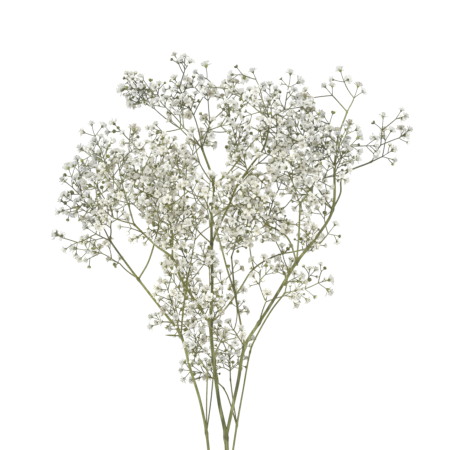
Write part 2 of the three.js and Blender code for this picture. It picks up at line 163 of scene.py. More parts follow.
def smoothed(tree, shape):
    shape = tree.add("GeometryNodeSetShadeSmooth", {"domain": "FACE"}, shape)
    rim = tree.add("GeometryNodeInputMeshEdgeAngle") > rimAngle
    return tree.add("GeometryNodeSetShadeSmooth", {"domain": "EDGE"}, shape, rim, False)


# The parts as one real mesh in the first material, with the second on what is marked for it.
def finished(tree, parts, first, second):
    whole = smoothed(tree, tree.add("GeometryNodeRealizeInstances", tree.join(parts)))
    whole = tree.add("GeometryNodeSetMaterial", whole, material=first)
    return tree.add("GeometryNodeSetMaterial", whole, tree.attribute("finish") > 0.5, second)


def placed(name, data):
    made = bpy.data.objects.new(name, data)
    scene.collection.objects.link(made)
    return made


# Runs a tree on an object and keeps the result as the object's own plain mesh.
def growPiece(name, plan, group, **settings):
    piece = placed(name, plan)
    modifier = piece.modifiers.new("grow", "NODES")
    modifier.node_group = group
    inputs = [item for item in group.interface.items_tree if item.in_out == "INPUT"]
    identifiers = {item.name: item.identifier for item in inputs}
    for key, value in settings.items():
        modifier[identifiers[spoken(key)]] = value
    bpy.context.view_layer.update()
    mesh = bpy.data.meshes.new_from_object(piece.evaluated_get(bpy.context.evaluated_depsgraph_get()))
    piece.modifiers.remove(modifier)
    piece.data = mesh
    mesh.name = name
    mesh.calc_loop_triangles()
    print(name, len(mesh.loop_triangles), "triangles")
    return piece


# How the stem grows, in millimetres: the same plan, rule and draws as its solid source.

growth = {
    "cutY": -158,  # where the stem is cut
    "middle": (5.8, 117.6, 0.29),
    "rise": 0.125,  # how fast the stalk lifts from the surface
    "twigRadius": 0.7, "pipePower": 0.3,  # a limb's radius for one spray, and how it grows with more
    "limbRoom": 1.1,
    "peg": 6, "seat": 0.3,  # the stub on the limb, and the gap to the spray
    "stalkRadius": 0.7, "forkRadius": 0.64, "pedicelRadius": 0.43,
    "shifts": 16, "shiftStep": 3,  # how often and how far a stalk that is in the way is lifted
    "twigLengths": (19, 16, 13.5, 12), "twigVariation": (0.8, 1.2),
    "pedicelLength": (6, 12), "shortPedicel": (3, 6),
    "spread": (0.5, 1.05), "slotAngle": math.pi / 3, "slotTurn": (1, 1.4), "topLean": 0.35,
    "lowestFork": 8,
    "margin": 8,
    "floretRadius": (3.2, 4.3), "largeFloretRadius": (4.6, 5.4), "largeShare": 0.16, "floretLength": 1.2,
    "budRadius": (1.8, 2.5), "budShare": 0.36, "budLength": 2.1,
    "ownClearance": 0.45, "clearance": 0.8, "clearStep": 1.5,
    "tries": 24, "choices": 8, "depthWeight": 0.4,
    "firstNumber": 1000,  # joints are numbered from 0, and forks from here
    "seed": 20817,
}

# a joint is a swollen node of the stem: x, y and its lift above the stalk's own line
joints = {
    "cut": (-3, -158, 0),
    "lowLeft": (-2, -95, 0),
    "lowRight": (1, -45, 0),
    "leftFirst": (-19.7, 14, 6),
    "midFirst": (0, 9, 0),
    "rightFirst": (11, 21, -6),
    "leftLeaf": (-45.5, 113, 5),
    "leftInner": (-18.5, 79, 16),
    "leftCross": (-11, 95, 14),
    "midLeft": (-12.5, 88, -3),
    "midRight": (19, 102, 4),
    "rightInner": (-2.5, 59, -15),
    "rightMid": (4.5, 68, -12),
    "rightOuter": (24.5, 96, -12),
    "rightLow": (60, 156, -20),
    "rightSprig": (33, 126, 9),
    "rightCrown": (71, 188, 14),
    "centreLow": (9, 157, 11),
    "centreHigh": (5.5, 193, 16),
    "centreLeft": (-14, 232, 30),
    "trunkLow": (-15.5, 125, -5),
    "leftHub": (-54, 191.5, 4),
    "rightCrossed": (28, 180.5, -18),
    "farLeft": (-88.5, 170, -4),
    "leftAbove": (-36, 183, 27),
    "farLeftMid": (-116.4, 209, 8),
    "leftUnder": (-68, 224, -26),
    "leftFan": (-92, 225.6, 16),
    "leftHubTop": (-60, 246, 12),
    "trunkMid": (-14.5, 206, -7),
    "trunkTop": (-12.5, 265.5, -5),
    "trunkLeft": (-43, 241, -2),
    "crownMid": (10.5, 263.5, 8),
    "crownRight": (44, 330, 14),
    "crownLeft": (-24, 302, 2),
    "crownBack": (14, 292.5, -18),
    "rightShoulder": (40, 226, 8),
    "rightPeak": (74, 245, 22),
    "rightFan": (107, 240.5, 8),
    "rightLowFan": (94, 204.5, -24),
    "rightStar": (109, 284, 6),
    "rightBend": (117.5, 274.5, -4),
    "farRight": (146.7, 288.8, -12),
    "rightTall": (121, 338, 10),
}

# a limb runs through joints and, between them, through bends given as x, y
limbs = [
    ("cut", "lowLeft", "lowRight", "midFirst", (-7, 45), "midLeft", "trunkLow", (-14, 160), "trunkMid",
     (-14.5, 235), "trunkTop", "crownLeft"),
    ("lowLeft", (-10, -60), (-16, -20), "leftFirst", (-27, 50), (-36, 79), "leftLeaf", (-62, 136), "farLeft",
     (-106, 194), "farLeftMid"),
    ("lowRight", (6, -12), "rightFirst", (17, 55), "rightOuter", (30, 110), (46, 138), "rightLow"),
    ("midFirst", (7, 42), (12, 65), "midRight", "rightSprig", (42, 140), (60, 170), "rightCrown", (91, 213),
     "rightFan", "rightStar", (112, 312), "rightTall"),
    ("leftFirst", (-19.5, 50), "leftInner"),
    ("leftFirst", (-15, 50), "leftCross"),
    ("rightFirst", (2, 50), "rightInner"),
    ("rightFirst", (6.5, 52), "rightMid"),
    ("midRight", (14, 130), "centreLow", "centreHigh"),
    ("centreLow", (2, 178), (-7, 211), "centreLeft"),
    ("trunkLow", (-29, 145), (-45, 170), "leftHub", (-70, 204), "leftFan"),
    ("trunkLow", (0, 141), (14, 160), "rightCrossed", (51, 194), (72, 198.5), "rightLowFan"),
    ("leftLeaf", (-43, 140), (-39, 168), "leftAbove"),
    ("farLeft", (-78, 189), "leftUnder"),
    ("leftHub", (-54, 215), "leftHubTop"),
    ("trunkMid", (-28, 219), "trunkLeft"),
    ("trunkMid", (-6, 226), (4, 247), "crownMid", (24, 283), (38, 303), "crownRight"),
    ("trunkTop", (2, 277), "crownBack"),
    ("rightCrown", (61, 213), "rightShoulder"),
    ("rightCrown", (73, 217), "rightPeak"),
    ("rightFan", (115, 257), "rightBend", "farRight"),
]

# a spray: its joint, its first forks in a row as x, y and lift, and its number of forks
sprays = [
    ("farLeft", ((-108, 186, -22), (-126, 196, -30)), 3),
    ("farLeftMid", ((-130, 234, -8), (-146, 254, -14), (-148, 278, -16)), 6),
    ("farLeftMid", ((-116, 240, -24), (-130, 262, -34)), 5),
    ("farLeftMid", ((-130, 216, 20),), 4),
    ("leftFan", ((-112, 232, 26), (-128, 244, 28)), 5),
    ("leftFan", ((-100, 252, 28), (-116, 276, 36), (-124, 300, 38)), 6),
    ("leftFan", ((-104, 266, 8), (-108, 286, 8)), 5),
    ("leftUnder", ((-72, 246, -40),), 6),
    ("leftUnder", ((-94, 246, -46),), 6),
    ("leftHub", ((-54, 222, -18),), 6),
    ("leftHubTop", ((-82, 258, 36),), 6),
    ("leftHubTop", ((-62, 262, 22),), 5),
    ("leftHubTop", ((-74, 270, -4),), 4),
    ("leftAbove", ((-48, 208, 40),), 6),
    ("leftAbove", ((-31, 210, 32),), 6),
    ("trunkLeft", ((-42, 262, -24), (-40, 282, -28)), 5),
    ("crownLeft", ((-42, 322, 14), (-60, 342, 22), (-76, 360, 24)), 6),
    ("crownLeft", ((-46, 322, -8), (-72, 342, -12), (-92, 354, -14)), 4),
    ("crownLeft", ((-32, 334, 32), (-46, 360, 36)), 4),
    ("crownLeft", ((-16, 328, -10), (-18, 350, -14)), 4),
    ("trunkTop", ((-26, 286, 30),), 5),
    ("crownBack", ((10, 312, -40), (4, 334, -52)), 5),
    ("crownBack", ((30, 312, -34),), 5),
    ("crownMid", ((32, 286, 36), (50, 304, 40)), 4),
    ("crownRight", ((36, 350, 24),), 4),
    ("crownRight", ((58, 340, 22), (62, 362, 22)), 4),
    ("crownRight", ((22, 348, -6),), 4),
    ("centreHigh", ((12, 214, 34), (26, 230, 40)), 6),
    ("centreLeft", ((-22, 252, 48),), 4),
    ("centreLeft", ((2, 244, 44),), 6),
    ("rightCrossed", ((24, 206, -34), (18, 226, -38)), 6),
    ("rightShoulder", ((28, 244, 14),), 6),
    ("rightShoulder", ((46, 246, 30),), 7),
    ("rightPeak", ((66, 268, 36), (56, 288, 40)), 6),
    ("rightPeak", ((88, 268, 46),), 6),
    ("rightFan", ((88, 256, -16), (76, 274, -28)), 7),
    ("rightFan", ((94, 262, -44), (90, 280, -52)), 6),
    ("rightStar", ((98, 302, 24),), 3),
    ("rightStar", ((84, 304, -10), (72, 324, -14)), 5),
    ("rightStar", ((124, 304, 14), (140, 304, 16)), 2),
    ("rightStar", ((114, 310, 30),), 3),
    ("rightTall", ((106, 354, 16),), 2),
    ("rightTall", ((128, 352, 4),), 2),
    ("farRight", ((158, 294, -20),), 2),
    ("farRight", ((155, 305, 6), (156, 320, 10)), 4),
    ("rightLowFan", ((104, 216, -36),), 4),
    ("rightLow", ((80, 160, -22), (94, 166, -26)), 4),
    ("rightLow", ((64, 178, -32),), 5),
    ("rightSprig", ((40, 148, 24),), 4),
    ("midRight", ((8, 118, -16),), 4),
    ("leftLeaf", ((-52, 140, 26), (-58, 160, 30)), 5),
    ("trunkLow", ((-28, 136, 14),), 6),
    ("trunkLow", ((-30, 146, -20), (-34, 170, -26)), 6),
    ("trunkLow", ((-4, 146, -22), (-4, 164, -28)), 3),
    ("midLeft", ((-24, 99, -14), (-36, 116, -26)), 5),
    ("rightInner", ((-12, 68, -20), (-24, 74, -26)), 3),
    ("rightMid", ((4, 88, -26),), 3),
    ("leftInner", ((-30, 94, 20),), 2),
    ("leftCross", ((-5, 108, 24),), 3),
]

# the border of the crown seen from above
crown = [
    (-50, 62), (-80, 118), (-72, 188), (-140, 178), (-164, 196), (-178, 238), (-168, 296),
    (-132, 334), (-84, 320), (-114, 350), (-110, 370), (-62, 390), (-40, 398), (0, 392),
    (50, 366), (66, 394), (82, 352), (118, 384), (142, 368), (132, 328), (172, 348),
    (184, 328), (180, 288), (124, 276), (108, 252), (122, 210), (78, 196), (118, 172),
    (98, 146), (50, 130), (24, 78),
]


class Draws:
    multiplier, modulus = 16807, 2147483647

    def __init__(self, seed):
        self.state = seed

    def one(self):
        self.state = self.state * self.multiplier % self.modulus
        return self.state / self.modulus

    def between(self, low, high):
        return low + (high - low) * self.one()

    def aside(self, axis):
        return squareTo(np.array([self.between(-1, 1) for _ in range(3)]), axis)


# What is already grown, as rounded bars from a to b, each with its owner and the forks that it touches.
class Room:
    def __init__(self, size=6000):
        self.count = 0
        self.a = np.zeros((size, 3))
        self.b = np.zeros((size, 3))
        self.middle = np.zeros((size, 3))
        self.half = np.zeros(size)
        self.radius = np.zeros(size)
        self.owner = np.zeros(size, int)
        self.touching = np.full((size, 2), -1)

    def take(self, a, b, radius, owner, forks=()):
        k = self.count
        self.a[k], self.b[k], self.middle[k] = a, b, a + (b - a) * 0.5
        self.half[k] = length(b - a) / 2
        self.radius[k], self.owner[k] = radius, owner
        self.touching[k, :len(forks)] = forks
        self.count += 1

    def isClear(self, a, b, radius, owner, forks=()):
        n = self.count
        span = length(b - a)
        need = radius + self.radius[:n] + np.where(
            self.owner[:n] == owner, growth["ownClearance"], growth["clearance"])
        apart = np.sqrt(((self.middle[:n] - (a + (b - a) * 0.5)) ** 2).sum(1))
        near = apart <= span / 2 + self.half[:n] + need
        for fork in forks:
            near &= (self.touching[:n] != fork).all(1)
        chosen = np.flatnonzero(near)
        if not chosen.size:
            return True
        steps = math.ceil(span / growth["clearStep"])
        at = a + (b - a) * (np.arange(steps + 1) / max(steps, 1))[:, None]
        start = self.a[chosen]
        run = self.b[chosen] - start
        square = (run * run).sum(1)
        share = ((at[:, None, :] - start) * run).sum(2) / np.where(square > 0, square, 1)
        closest = start + run * np.clip(share, 0, 1)[:, :, None]
        gap = np.sqrt(((closest - at[:, None, :]) ** 2).sum(2))
        return bool((gap >= need[chosen]).all())


def length(v):
    return math.sqrt(v[0] * v[0] + v[1] * v[1] + v[2] * v[2])


def towards(a, b):
    return (b - a) / length(b - a)


tooShort, tooSteep = 1e-6, 0.9  # when a vector counts as lying along its axis, and an axis as upright


# The part of a vector that is square to an axis, at length 1.
def squareTo(v, axis):
    rest = v - axis * (v @ axis)
    if rest @ rest < tooShort:
        other = np.array((0.0, 0.0, 1.0) if abs(axis[2]) < tooSteep else (1.0, 0.0, 0.0))
        rest = other - axis * (other @ axis)
    return rest / length(rest)


def turned(v, axis, angle):
    c, s = math.cos(angle), math.sin(angle)
    return v * c + np.cross(axis, v) * s + axis * (axis @ v) * (1 - c)


def stemRadius(carried):
    return growth["twigRadius"] * carried ** growth["pipePower"]


def stalkHeight(y):
    return growth["rise"] * (y - growth["cutY"]) + stemRadius(len(sprays))


def placeOf(x, y, lift):
    return np.array((x, y, stalkHeight(y) + lift), float)


def isJoint(station):
    return isinstance(station, str)


def jointsOf(stations):
    return [station for station in stations if isJoint(station)]


# How many sprays are carried by the joint and by all that grows from it.
def spraysOn(joint):
    carried = sum(spray[0] == joint for spray in sprays)
    for limb in limbs:
        along = jointsOf(limb)
        if joint in along[:-1]:
            carried += spraysOn(along[along.index(joint) + 1])
    return carried


def limbPath(limb):
    places = []
    for k, station in enumerate(limb):
        if isJoint(station):
            places.append(placeOf(*joints[station]))
            continue
        before, after = joints[jointsOf(limb[:k])[-1]], joints[jointsOf(limb[k:])[0]]
        share = math.dist(station, before[:2]) / math.dist(after[:2], before[:2])
        places.append(placeOf(*station, before[2] + (after[2] - before[2]) * share))
    return places


def limbRadii(limb):
    return [stemRadius(spraysOn(jointsOf(limb[k:])[0])) for k in range(len(limb))]


faces = ("top", 1, -1)  # a fork has a slot at its top and one on each side


# A fork, the place that its twig comes from, and the small twigs that leave that twig on the way.
class Fork:
    def __init__(self, place, axis, side, level, below=None):
        spots.append(place)
        self.number = growth["firstNumber"] + len(spots)
        self.below = below
        self.offshoots = []
        self.place = place
        self.axis = axis
        self.side = side
        self.level = level
        self.slots = {}


# Whether a place lies within the border of the crown, as seen from above.
def inCrown(place):
    x, y = place[0], place[1]
    inside = False
    for k, (ax, ay) in enumerate(crown):
        bx, by = crown[(k + 1) % len(crown)]
        if (ay > y) != (by > y) and x < (bx - ax) * (y - ay) / (by - ay) + ax:
            inside = not inside
    return inside


def slotAxis(fork, face):
    lean = draws.between(*growth["spread"])
    angle = growth["slotAngle"] * draws.between(*growth["slotTurn"])
    out = turned(fork.side, fork.axis, face * angle)
    axis = fork.axis * math.cos(lean) + out * math.sin(lean)
    return axis / length(axis)


# Of some draws that have room, the one that lies farthest from all forks and heads so far.
def bestOf(drawOne, hasRoom):
    best, found = None, 0
    taken = np.array(spots)
    for attempt in range(growth["tries"]):
        if found == growth["choices"]:
            break
        one = drawOne()
        if hasRoom(one):
            found += 1
            away = (taken - one["place"]) * (1, 1, growth["depthWeight"])
            reach = math.sqrt((away ** 2).sum(1).min())
            if best is None or reach > best["reach"]:
                best = {**one, "reach": reach}
    return best


def growStalk(number, joint, row):
    root = placeOf(*joints[joint])
    for shift in range(growth["shifts"]):
        change = math.ceil(shift / 2) * growth["shiftStep"] * (1 if shift % 2 else -1)
        places = [placeOf(x, y, lift + change) for x, y, lift in row]
        for place in places:
            place[2] = max(place[2], growth["lowestFork"])
        axis = towards(root, places[0])
        start = root + axis * (growth["peg"] + growth["seat"])
        path = [start, *places]
        radius = growth["stalkRadius"]
        if all(room.isClear(path[k], place, radius, number) for k, place in enumerate(places)):
            side = draws.aside(axis)
            room.take(root, root + axis * growth["peg"], radius, 0, [jointNumbers[joint]])
            forks = []
            for k, place in enumerate(places):
                here = towards(path[k], path[k + 2] if k + 2 < len(path) else place)
                fork = Fork(place, here, squareTo(side, here), k, path[k])
                if k:
                    forks[k - 1].slots["top"] = fork
                touching = [f.number for f in forks[k - 1:k]] + [fork.number]
                room.take(path[k], place, radius, number, touching)
                forks.append(fork)
            return {"number": number, "root": root, "start": start, "axis": axis, "forks": forks, "heads": []}
    raise ValueError(f"spray {number} has no clear way from {joint}")


# Turns the best of the spray's open side slots into a twig with a fork of its own.
def growFork(spray):
    openSlots = [(fork, face) for fork in spray["forks"] for face in faces[1:] if face not in fork.slots]

    def drawOne():
        fork, face = openSlots[math.floor(draws.one() * len(openSlots))]
        usual = growth["twigLengths"][min(fork.level, len(growth["twigLengths"]) - 1)]
        reach = usual * draws.between(*growth["twigVariation"])
        axis = slotAxis(fork, face)
        place = fork.place + axis * reach
        place[2] = max(place[2], growth["lowestFork"])
        return {"from": fork, "face": face, "place": place, "beyond": place + axis * growth["margin"]}

    def hasRoom(one):
        return inCrown(one["place"]) and inCrown(one["beyond"]) and room.isClear(
            one["from"].place, one["place"], growth["forkRadius"], spray["number"], [one["from"].number])

    twig = bestOf(drawOne, hasRoom)
    if twig:
        fork = twig["from"]
        axis = towards(fork.place, twig["place"])
        side = squareTo(np.cross(fork.side, fork.axis), axis)
        new = Fork(twig["place"], axis, side, fork.level + 1, fork.place)
        room.take(fork.place, new.place, growth["forkRadius"], spray["number"], [fork.number, new.number])
        fork.slots[twig["face"]] = new
        spray["forks"].append(new)


limbMargin = 0.5  # a small head that would hide a limb from above stays this much farther from its line


# Whether a head here would lie over a limb, as seen from above.
def hidesLimb(place, radius):
    start, run = room.a[:limbBars], (room.b - room.a)[:limbBars]
    share = np.clip(((place - start) * run)[:, :2].sum(1) / (run * run)[:, :2].sum(1), 0, 1)
    gap = start + run * share[:, None] - place
    return bool(((np.hypot(gap[:, 0], gap[:, 1]) < radius) & (gap[:, 2] < 0)).any())


# Puts a floret or a bud on a free slot of a fork.
def growHead(spray, fork, face, rule=growth, span="pedicelLength"):
    bud = face != "top" and draws.one() < rule["budShare"]
    large = draws.one() < rule["largeShare"]
    sizes = rule["budRadius"] if bud else rule["largeFloretRadius"] if large else rule["floretRadius"]
    radius = draws.between(*sizes)
    half = radius * growth["budLength" if bud else "floretLength"] / 2

    def drawOne():
        if face == "top":
            axis = fork.axis + fork.side * draws.between(-growth["topLean"], growth["topLean"])
            axis = axis / length(axis)
        else:
            axis = slotAxis(fork, face)
        place = fork.place + axis * (draws.between(*rule[span]) + half)
        place[2] = max(place[2], max(radius, half))
        heading = towards(fork.place, place)
        return {"place": place, "heading": heading, "base": place - heading * half}

    def hasRoom(one):
        place = one["place"]
        return (inCrown(place) and (rule is growth or not hidesLimb(place, radius + limbMargin))
                and room.isClear(place, place, radius, spray["number"])
                and room.isClear(fork.place, one["base"], growth["pedicelRadius"], spray["number"],
                                 [fork.number]))

    head = bestOf(drawOne, hasRoom)
    if head:
        spots.append(head["place"])
        room.take(head["place"], head["place"], radius, spray["number"])
        room.take(fork.place, head["base"], growth["pedicelRadius"], spray["number"], [fork.number])
        head.update(side=squareTo(fork.side, head["heading"]), radius=radius, bud=bud, fork=fork,
                    bar=room.count - 1)
        fork.slots[face] = head
        spray["heads"].append(head)
    elif face == "top" and span != "shortPedicel":
        growHead(spray, fork, face, rule, "shortPedicel")


draws = Draws(growth["seed"])
spots = []
room = Room()
jointNumbers = {joint: k for k, joint in enumerate(joints)}
for limb in limbs:
    path, radii = limbPath(limb), limbRadii(limb)
    for k in range(1, len(path)):
        ends = [jointNumbers[joint] for joint in jointsOf(limb[k - 1:k + 1])]
        room.take(path[k - 1], path[k], radii[k] * growth["limbRoom"], 0, ends)
limbBars = room.count
grown = [growStalk(k + 1, joint, row) for k, (joint, row, count) in enumerate(sprays)]
for count in range(2, max(spray[2] for spray in sprays) + 1):
    for spray, (joint, row, most) in zip(grown, sprays):
        if most >= count and len(spray["forks"]) < count:
            growFork(spray)
for face in faces:
    for spray in grown:
        for fork in spray["forks"]:
            if face not in fork.slots:
                growHead(spray, fork, face)
print("grown:", sum(len(s["forks"]) for s in grown), "forks", sum(len(s["heads"]) for s in grown), "heads")


# From the plan's millimetres to the frame's metres.
def toFrame(places):
    return (np.array(places, float) - growth["middle"]) / 1000


# The small side heads: a pedicel may carry a node with one or two more. They are rare at the border of the
# crown, outside this ellipse, and in its clearings, each given as x, y and how far each way.
sideHeads = {
    "share": (0.15, 0.7), "bare": 0.36, "sparseBare": 0.85, "inside": (-5, 252, 128, 118),
    "budShare": 0.45, "largeShare": 0, "budRadius": (1.3, 2.1), "floretRadius": (2.7, 4.0),
    "pedicelLength": (2.5, 9), "clearance": 0.3,
}
clearings = [
    (-31, 375, 18, 18), (29, 375, 16, 16), (29, 285, 16, 16), (-31, 255, 16, 16), (-1, 315, 14, 14),
    (29, 195, 16, 16), (59, 255, 14, 14), (-91, 225, 14, 14), (-1, 165, 14, 14), (-14, 214, 9, 44),
]


def isWithin(place, x, y, wide, high):
    return ((place[0] - x) / wide) ** 2 + ((place[1] - y) / high) ** 2 < 1


def isOpen(place):
    return any(isWithin(place, *clearing) for clearing in clearings)


def isOuter(place):
    return not isWithin(place, *sideHeads["inside"])


def growSideHeads(spray, head):
    fork, heading = head["fork"], head["heading"]
    bare = sideHeads["sparseBare"] if isOuter(fork.place) or isOpen(fork.place) else sideHeads["bare"]
    place = fork.place + (head["base"] - fork.place) * draws.between(*sideHeads["share"])
    node = Fork(place, heading, squareTo(np.cross(fork.side, heading), heading), fork.level + 1)
    room.touching[head["bar"], 1] = node.number
    for face in faces[1:]:
        if draws.one() > bare:
            growHead(spray, node, face, sideHeads)
    if node.slots:
        head["node"] = node


# the small heads may come closer to their neighbours
growth["clearance"], growth["ownClearance"] = sideHeads["clearance"], sideHeads["clearance"] / 2
for spray in grown:
    for head in list(spray["heads"]):
        growSideHeads(spray, head)
print("with side heads:", sum(len(s["heads"]) for s in grown), "heads")

# Where the crown is thickest, small twigs with a few more heads leave the larger ones: x, y, how far each
# way, and how many.
thickets = [
    (-126, 262, 38, 30, 28), (-64, 272, 30, 34, 34), (-62, 210, 24, 32, 26), (-58, 364, 32, 26, 25),
    (36, 336, 34, 30, 20), (88, 286, 28, 36, 46), (6, 292, 22, 20, 15), (26, 246, 28, 34, 42),
    (0, 196, 26, 22, 12), (-32, 140, 26, 28, 29), (60, 172, 28, 22, 10), (-8, 100, 30, 26, 14),
    (-8, 70, 22, 18, 11), (-40, 226, 22, 22, 14), (-120, 206, 22, 22, 8), (90, 196, 18, 18, 6),
]
smallTwigs = {
    "share": (0.15, 0.85), "length": (5, 12), "radius": 0.35, "lowest": 4, "budShare": 0.72, "largeShare": 0,
    "budRadius": (1.3, 2.2), "floretRadius": (2.6, 3.9), "pedicelLength": (3, 9), "shortPedicel": (2, 4),
}


def growSmallTwig(thicket):
    nearby = [(spray, fork) for spray in grown for fork in spray["forks"]
              if isWithin((fork.below + fork.place) / 2, *thicket)]
    if not nearby:
        return

    def drawOne():
        spray, fork = nearby[math.floor(draws.one() * len(nearby))]
        share = draws.between(*smallTwigs["share"])
        foot = fork.below + (fork.place - fork.below) * share
        along = towards(fork.below, fork.place)
        out = draws.aside(along)
        lean = draws.between(*growth["spread"])
        axis = along * math.cos(lean) + out * math.sin(lean)
        place = foot + axis * draws.between(*smallTwigs["length"])
        place[2] = max(place[2], smallTwigs["lowest"])
        return {"spray": spray, "from": fork, "share": share, "foot": foot, "place": place}

    def hasRoom(one):
        return inCrown(one["place"]) and not isOpen(one["place"]) and room.isClear(
            one["foot"], one["place"], smallTwigs["radius"], one["spray"]["number"], [one["from"].number])

    twig = bestOf(drawOne, hasRoom)
    if twig:
        fork, spray = twig["from"], twig["spray"]
        axis = towards(twig["foot"], twig["place"])
        new = Fork(twig["place"], axis, squareTo(fork.side, axis), fork.level + 1, twig["foot"])
        room.take(new.below, new.place, smallTwigs["radius"], spray["number"], [fork.number, new.number])
        fork.offshoots.append((twig["share"], new))
        for face in faces:
            growHead(spray, new, face, smallTwigs)


for *thicket, count in thickets:
    for _ in range(count):
        growSmallTwig(thicket)
print("with small twigs:", sum(len(s["heads"]) for s in grown), "heads")


# Blades: petals, sepals, bracts and the leaf are one closed blade with different numbers.

# how its width grows from the root, and how late it turns to a point, a notch and a curl
bladeShape = {"widening": 1.2, "pointing": 4, "notching": 6, "curling": 3, "seam": 0.0005}


# A blade points up from the origin, leans out to -Y and is widest near its tip. Its reach is 0 at the root
# and 1 at the tip.
def bladeTree():
    tree, given = geometryTree(
        "blade", rows=4, length=1.0, width=0.5, rootWidth=0.5, point=1.0, curl=0.2, cup=0.4, thickness=0.05,
        notch=0.0)
    flat = tree.add("GeometryNodeMeshGrid", 2.0, 1.0, 3, given["rows"])
    across, along, _ = tree.partsOf(tree.add("GeometryNodeInputPosition"))
    along = along + 0.5
    edge = across.maths("ABSOLUTE")
    half = given["rootWidth"] + (1 - given["rootWidth"]) * along ** bladeShape["widening"]
    half = half * (1 - given["point"] * along ** bladeShape["pointing"]) * given["width"] / 2
    height = (along - given["notch"] * (1 - edge) * along ** bladeShape["notching"]) * given["length"]
    depth = edge ** 2 * half * given["cup"] - along ** bladeShape["curling"] * given["curl"] * given["length"]
    body = (1 - edge ** 2) * along * (1 - along) * given["thickness"] * 2
    sheet = stored(tree, flat, "reach", along)
    outer = movedTo(tree, sheet, across * half, depth - body, height)
    inside = tree.add("GeometryNodeFlipFaces", movedTo(tree, sheet, across * half, depth + body, height))
    both = tree.join([outer, inside])
    shut = tree.add("GeometryNodeMergeByDistance", both, distance=bladeShape["seam"])
    return finishTree(tree, shut)


blade = bladeTree()


def addBlade(tree, **sizes):
    return tree.add("GeometryNodeGroup", {"node_tree": blade}, **sizes)


# Double florets and buds: one unit in radius, with their root at the origin.

floret = {
    "kinds": 7, "kindStep": 200, "seedStep": 40, "fullness": (1.1, 1.17),
    "sizes": [(0.0, 10, 3), (3.2, 13, 3), (3.9, 16, 4), (4.6, 22, 4)],  # from a radius: petals, their rows
    "outerLean": 1.25, "innerLean": 0.1, "leaning": 1.2, "scatter": (-0.18, 0.18), "twist": (-0.25, 0.25),
    "turn": 2.39996, "spin": (-0.3, 0.3), "rootHeight": 0.26, "rootRise": 0.22, "shrink": 0.2,
    "petalSize": (0.86, 1.08),
    "petal": {"length": 1.24, "width": 1.32, "rootWidth": 0.14, "point": 0.45, "curl": 0.08, "notch": 0.06},
    "calyx": {"width": 0.33, "height": 0.52, "foot": 0.1, "pinch": 0.0, "tooth": 0.1},
}
bud = {
    "segments": 8, "rings": 6, "width": 0.96, "foot": 0.25, "height": 1.95, "twist": 1.1,
    "furls": 4, "furl": 0.06, "reach": (0.26, 0.35),
    "calyx": {"width": 1.06, "height": 1.1, "foot": 0.2, "pinch": 0.05, "tooth": 0.2},
}
cup = {"sides": 10, "teeth": 5, "bulge": 2.2, "pinching": 4, "toothing": 3}


# A toothed cup: the side of a drum, drawn in at its foot.
def calyxTree():
    tree, given = geometryTree("calyx", width=0.3, height=0.5, foot=0.1, pinch=0.0, tooth=0.1)
    drum = tree.add("GeometryNodeMeshCone", {"fill_type": "TRIANGLE_FAN"}, cup["sides"], 2, 1, 1.0, 1.0, 1.0)
    x, y, z = tree.partsOf(tree.add("GeometryNodeInputPosition"))
    wide = given["foot"] + (given["width"] - given["foot"]) * (1 - (1 - z) ** cup["bulge"])
    wide = wide - given["pinch"] * z ** cup["pinching"]
    tooth = (y.maths("ARCTAN2", x) * cup["teeth"]).maths("COSINE") * given["tooth"] * z ** cup["toothing"]
    drum = movedTo(tree, stored(tree, drum, "reach", z), x * wide, y * wide, z * given["height"] + tooth)
    return finishTree(tree, marked(tree, drum, 1))


calyx = calyxTree()


def addCalyx(tree, petals, sizes):
    return tree.join([marked(tree, petals, 0), tree.add("GeometryNodeGroup", {"node_tree": calyx}, **sizes)])


def floretTree():
    tree, given = geometryTree("floret", seed=0, petals=12, rows=4)
    index = tree.add("GeometryNodeInputIndex")
    inward = index / (given["petals"] - 1)
    height = floret["rootHeight"] + inward * floret["rootRise"]
    ring = movedTo(tree, tree.add("GeometryNodeMeshLine", given["petals"]), 0.0, 0.0, height)
    lean = floret["outerLean"] + (floret["innerLean"] - floret["outerLean"]) * inward ** floret["leaning"]
    scatter, spread, sizes, twist = (
        tree.random(floret[key], given["seed"] + k * floret["seedStep"])
        for k, key in enumerate(("scatter", "spin", "petalSize", "twist")))
    spin = index * floret["turn"] + spread
    size = (1 - inward * floret["shrink"]) * sizes
    turn = tree.vector(lean + scatter, twist, spin)
    petals = tree.add("GeometryNodeInstanceOnPoints", ring, rotation=turn, scale=size,
                      instance=addBlade(tree, rows=given["rows"], **floret["petal"]))
    return finishTree(tree, addCalyx(tree, petals, floret["calyx"]))


def budTree():
    tree, given = geometryTree("bud", height=bud["height"])
    ball = tree.add("GeometryNodeMeshUVSphere", bud["segments"], bud["rings"], 1.0)
    x, y, z = tree.partsOf(tree.add("GeometryNodeInputPosition"))
    up = (z / 2 + 0.5).maths("MAXIMUM", 0.0)
    angle = y.maths("ARCTAN2", x) + up * bud["twist"]
    wide = (1 + (angle * bud["furls"]).maths("SINE") * bud["furl"] * up) * bud["width"]
    body = stored(tree, ball, "reach", up * bud["reach"][1] + bud["reach"][0])
    body = movedTo(tree, body, x * wide, y * wide, bud["foot"] + up * (given["height"] - bud["foot"]))
    return finishTree(tree, addCalyx(tree, body, bud["calyx"]))


# Finishes. A colour sets in from (a start, how steeply, how much of it) where it says so.

